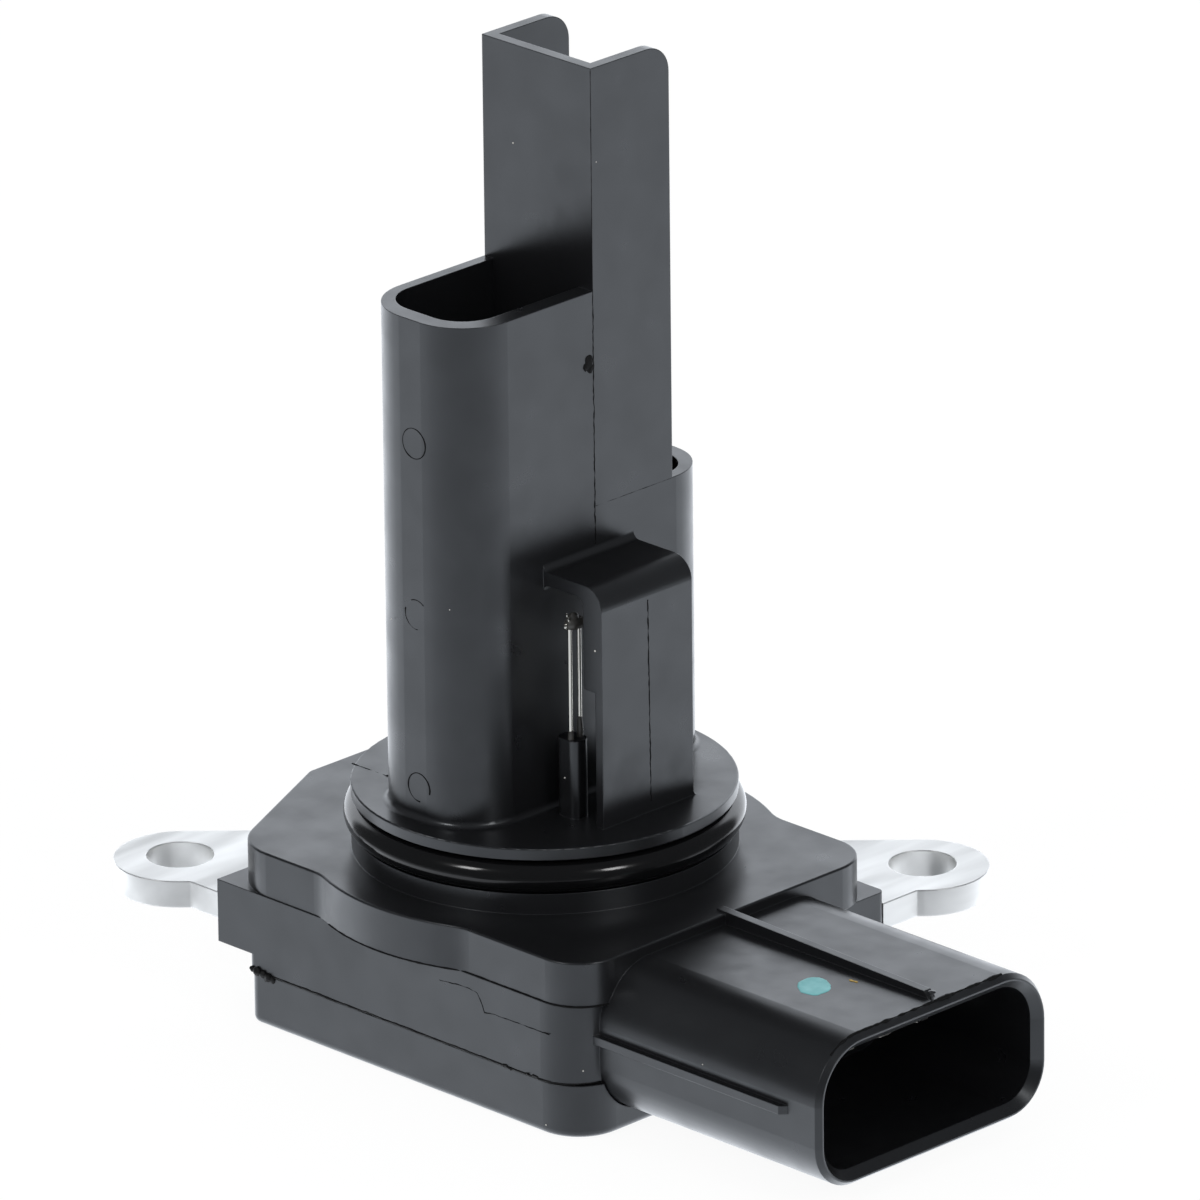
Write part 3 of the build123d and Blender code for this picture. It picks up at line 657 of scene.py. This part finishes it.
def lump_tree():
    tree = new_tree("lumps_on_points", [("Roundness", "Int", 3), ("Skin", "Float", 0.3),
                                        ("Wave", "Float", 0.3 * MM), ("Material", "Material", None)])
    given = add_node(tree, "NodeGroupInput").outputs
    ball = add_node(tree, "GeometryNodeMeshIcoSphere", {"Radius": 1.0, "Subdivisions": given["Roundness"]})
    size = add_node(tree, "GeometryNodeInputNamedAttribute", {"Name": "size"}, data_type="FLOAT_VECTOR")
    placed = add_node(tree, "GeometryNodeInstanceOnPoints",
                      {"Points": given["Geometry"], "Instance": ball.outputs[0], "Scale": size.outputs[0]})
    real = add_node(tree, "GeometryNodeRealizeInstances", {"Geometry": placed.outputs[0]})
    place = add_node(tree, "GeometryNodeInputPosition")
    rate = add_node(tree, "ShaderNodeMath", {0: 1.0, 1: given["Wave"]}, operation="DIVIDE")
    waves = add_node(tree, "ShaderNodeTexNoise",
                     {"Vector": place.outputs[0], "Scale": rate.outputs[0], "Detail": 2.0})
    level = add_node(tree, "ShaderNodeVectorMath", {0: waves.outputs["Color"], 1: MIDDLE},
                     operation="SUBTRACT")
    reach = add_node(tree, "ShaderNodeMath", {0: given["Skin"], 1: given["Wave"]}, operation="MULTIPLY")
    push = add_node(tree, "ShaderNodeVectorMath", {0: level.outputs[0], "Scale": reach.outputs[0]},
                    operation="SCALE")
    moved = add_node(tree, "GeometryNodeSetPosition",
                     {"Geometry": real.outputs[0], "Offset": push.outputs[0]})
    smooth = add_node(tree, "GeometryNodeSetShadeSmooth",
                      {"Geometry": moved.outputs[0], "Shade Smooth": True})
    dressed = add_node(tree, "GeometryNodeSetMaterial",
                       {"Geometry": smooth.outputs[0], "Material": given["Material"]})
    add_node(tree, "NodeGroupOutput", {"Geometry": dressed.outputs[0]})
    return tree


def points_mesh(name, lumps):
    """Points in millimetres, each with its three half sizes, as a mesh of loose vertices."""
    mesh = bpy.data.meshes.new(name)
    mesh.from_pydata([Vector(p) * MM for p, half in lumps], [], [])
    size = mesh.attributes.new("size", "FLOAT_VECTOR", "POINT")
    for place, (p, half) in zip(size.data, lumps):
        place.vector = Vector(half) * MM
    return mesh


LUMPS = lump_tree()
print("lump inputs:", [i.name for i in LUMPS.interface.items_tree if i.in_out == "INPUT"])

# %% [markdown]
# ## Sealant
# The cover is glued to the housing, and the black sealant was squeezed out here and there: a fine
# uneven bead in the seam, with lumps at its left end and beside the connector. The bead is one more
# thread. Both heaps are several lumps that overlap, so that each reads as one squeezed mass.

# %% Bead and lumps of sealant
SEAM_Z = 4.48                       # mm
SEAM_X = (-15.95, 20.15)
SEAM_Y = (-16.95, 17.0)
SEAM_CORNER = 3.8                   # radius beside the connector
SEAM_CUT = 0.5                      # the left corner, which is nearly sharp

seam = [(SEAM_X[0], SEAM_Y[1], SEAM_Z), (SEAM_X[0], SEAM_Y[0] + SEAM_CUT, SEAM_Z),
        (SEAM_X[0] + SEAM_CUT, SEAM_Y[0], SEAM_Z)]
seam += arc((SEAM_X[1] - SEAM_CORNER, SEAM_Y[0] + SEAM_CORNER, SEAM_Z), SEAM_CORNER, -90, 0, steps=12)
grow("sealant_bead", paths_mesh("seam", [seam]), THREAD,
     {"Radius": 0.10 * MM, "Unevenness": 0.5, "Wave": 1.3 * MM, "Wander": (0, 0, 0.3 * MM), "Seed": 2.0,
      "Material": SEALANT})
# Places and half sizes in mm: five big lumps and a drip at the left end, flat ones along the
# front, and a run down beside the connector.
SQUEEZED = [((-15.55, -17.0, 4.55), (0.30, 0.22, 0.26)), ((-14.95, -17.05, 4.50), (0.42, 0.28, 0.38)),
            ((-14.30, -17.05, 4.42), (0.36, 0.26, 0.34)), ((-13.75, -17.05, 4.30), (0.34, 0.26, 0.38)),
            ((-13.30, -17.0, 4.20), (0.26, 0.20, 0.30)), ((-14.1, -17.02, 3.95), (0.12, 0.10, 0.16)),
            ((12.55, -17.0, 4.50), (0.30, 0.12, 0.16)), ((13.1, -16.98, 4.42), (0.22, 0.12, 0.12)),
            ((14.9, -17.0, 4.52), (0.25, 0.12, 0.14)), ((15.8, -16.95, 4.55), (0.35, 0.14, 0.18)),
            ((17.0, -16.7, 4.50), (0.30, 0.16, 0.14)), ((20.35, -12.9, 4.2), (0.22, 0.34, 0.30)),
            ((20.55, -12.55, 3.8), (0.16, 0.26, 0.32)), ((20.62, -12.3, 3.3), (0.14, 0.22, 0.36)),
            ((20.62, -12.1, 2.85), (0.10, 0.16, 0.26))]
grow("sealant_lumps", points_mesh("squeezed", SQUEEZED), LUMPS,
     {"Roundness": 3, "Skin": 0.9, "Wave": 0.25 * MM, "Material": SEALANT})

# %% [markdown]
# ## The gate's stub and small bits
# The melt entered through a gate on the probe's side. The runner was torn off there and left a
# rough dark stub. Small bits of the same plastic sit on the disc and at the end of the rib on the
# connector, where a slide rubbed. All are lumps: a stub is three wide flat ones.

# %% The gate's torn stub and small bits of plastic
GATE = [((PROBE_FACE, 0.50, 55.85), (0.08, 0.42, 0.48)), ((PROBE_FACE, 0.28, 55.45), (0.08, 0.40, 0.40)),
        ((PROBE_FACE, 0.62, 55.15), (0.08, 0.34, 0.42))]
BITS = [((-8.95, -8.42, 20.16), (0.14, 0.12, 0.10)), ((42.55, -0.72, 14.40), (0.30, 0.32, 0.10)),
        ((42.95, -1.15, 14.20), (0.16, 0.16, 0.30)), ((43.05, -1.20, 13.85), (0.12, 0.14, 0.26))]
grow("gate_stub", points_mesh("gate", GATE), LUMPS,
     {"Roundness": 3, "Skin": 0.8, "Wave": 0.3 * MM, "Material": TORN})
grow("plastic_bits", points_mesh("bits", BITS), LUMPS,
     {"Roundness": 3, "Skin": 0.4, "Wave": 0.4 * MM, "Material": PBT})

# %% [markdown]
# ## Resin, weld and painted shade on the thermistor's wires
# The thermistor stands on two bright wires. When its tip was dipped, the resin made an uneven drop
# round the bead, and at the post a little resin creeps up the wires. The far wire's longer dark
# sleeve goes on as painted shade, where that wire lies in shadow. Three bright spots on the drop's
# near side are where the wires were welded. Lumps do for all of it: long thin ones on the wires, and
# rounder ones on the drop.

# %% Resin, weld and painted shade on the thermistor's wires
LEAD_X = 7.52                       # mm
LEAD_Y = (-4.5, -3.5)               # the near wire and the far one
POST_TOP = 26.6
# Sleeves at the post: resin on both wires, and on the far wire a longer one that is painted shade.
RESIN_AND_SHADE_ON_WIRES = [((LEAD_X, LEAD_Y[0], POST_TOP), (0.26, 0.24, 1.0)),
         ((LEAD_X, LEAD_Y[1], POST_TOP), (0.26, 0.26, 2.3))]
WELD = [((7.50, -4.88, 36.10), (0.16, 0.20, 0.28)), ((7.64, -4.70, 36.62), (0.10, 0.10, 0.22)),
        ((7.62, -4.88, 37.05), (0.06, 0.06, 0.18))]
DROP = [((LEAD_X, -4.1, 36.45), (0.42, 0.50, 0.62)), ((7.75, -3.55, 36.15), (0.40, 0.42, 0.50))]
grow("wire_resin_and_painted_shade", points_mesh("resin_and_shade", RESIN_AND_SHADE_ON_WIRES), LUMPS,
     {"Roundness": 3, "Skin": 0.2, "Wave": 0.4 * MM, "Material": RESIN_DROP})
grow("resin_skin", points_mesh("drop", DROP), LUMPS,
     {"Roundness": 4, "Skin": 0.5, "Wave": 0.4 * MM, "Material": RESIN_DROP})
grow("weld_spots", points_mesh("weld", WELD), LUMPS,
     {"Roundness": 3, "Skin": 0.5, "Wave": 0.2 * MM, "Material": WIRE})

# %% [markdown]
# ## Dust
# A few grains of pale dust lie where they do in the photograph, and one yellow speck lies on the
# connector. Scattering them at random would be quicker, but on a black object the eye knows each
# of them. Dust belongs to none of the sensor's materials, so these pieces name no slot.

# %% Dust
# Dust is fully matt, and pale only because the plastic is black.
DUST_WHITE = textured("house_dust", "#C9C7C2", "#D8D6D2", roughness=0.85, ior=1.45, edge=0.01 * MM)
DUST_YELLOW = textured("pollen_dust", "#B59A5B", "#C4AA6C", roughness=0.80, ior=1.45, edge=0.01 * MM)
SPECKS = [((10.48, -4.7, 34.81), 0.09), ((2.9, -12.9, 38.5), 0.05), ((-3.61, 1.0, 71.43), 0.08),
          ((PROBE_FACE, 1.53, 71.84), 0.05), ((19.48, -15.43, 5.61), 0.07), ((16.94, -17.0, 0.84), 0.07),
          ((18.98, -15.99, 0.62), 0.06), ((7.15, -4.85, 23.39), 0.07), ((-3.46, TUBE_FRONT, 36.06), 0.05),
          ((31.2, -14.2, 9.2), 0.05)]     # places and radii in mm
grow("dust_specks", points_mesh("specks", [(p, (r, r, r)) for p, r in SPECKS]), LUMPS,
     {"Roundness": 2, "Skin": 0.3, "Wave": 0.1 * MM, "Material": DUST_WHITE})
YELLOW = [((35.65, -2.42, 13.87), (0.26, 0.14, 0.06)), ((36.05, -2.36, 13.87), (0.22, 0.12, 0.05))]
grow("pollen_speck", points_mesh("yellow", YELLOW), LUMPS,
     {"Roundness": 2, "Skin": 0.5, "Wave": 0.1 * MM, "Material": DUST_YELLOW})

# %% [markdown]
# ## The dab of paint
# Somebody in the factory dabbed a little teal paint on the connector when the sensor had passed its
# test. It is a thin flat dome with an uneven edge. A lump would be too plump, so it is built from
# rings: each ring of points follows the same wavy outline, and the rings rise towards the middle.
# Two noises make the outline, a slow one for its shape and a quick one for its raggedness.

# %% Paint dab
# A drop of thick paint dries half glossy, and thinner towards its edge.
PAINT = textured("teal_test_paint", "#79BEC1", "#80C4C6", roughness=0.45, ior=1.42,
                 grain=0.3 * MM, bump=0.25, patch=0.8 * MM, edge=0.02 * MM, spread=0.10)
DAB_AT = (34.32, -5.18, SHROUD_TOP)
DAB_LONG, DAB_SHORT = 1.78, 1.32    # mm, half sizes along and across
DAB_TURN = math.radians(-42)
DAB_HEIGHT = 0.05
DAB_POINTS = 48
DAB_RINGS = ((1.0, -0.2), (0.97, 0.6), (0.88, 0.95), (0.6, 1.0), (0.3, 1.0))   # size, and height as a share
DAB_WAVES = ((0.10, 1.7, 4.2), (0.05, 6.0, 1.1))   # strength, radius of a walk through noise, and seed


def paint_dab():
    made = bmesh.new()
    rings = []
    for share, height in DAB_RINGS:
        ring = []
        for i in range(DAB_POINTS):
            turn = 2 * math.pi * i / DAB_POINTS
            wave = 1.0
            for strength, walk, seed in DAB_WAVES:
                spot = Vector((walk * math.cos(turn), walk * math.sin(turn), seed))
                wave += strength * noise.noise(spot)
            a = DAB_LONG * share * wave * math.cos(turn)
            b = DAB_SHORT * share * wave * math.sin(turn)
            x = DAB_AT[0] + a * math.cos(DAB_TURN) - b * math.sin(DAB_TURN)
            y = DAB_AT[1] + a * math.sin(DAB_TURN) + b * math.cos(DAB_TURN)
            ring.append(made.verts.new(Vector((x, y, DAB_AT[2] + height * DAB_HEIGHT)) * MM))
        rings.append(ring)
    for outer, inner in zip(rings, rings[1:]):
        for i in range(DAB_POINTS):
            j = (i + 1) % DAB_POINTS
            made.faces.new((outer[i], outer[j], inner[j], inner[i]))
    made.faces.new(rings[-1])
    made.faces.new(list(reversed(rings[0])))
    mesh = bpy.data.meshes.new("paint_dab")
    made.to_mesh(mesh)
    made.free()
    mesh.shade_smooth()
    mesh.materials.append(PAINT)
    keep("paint_dab", mesh)


paint_dab()
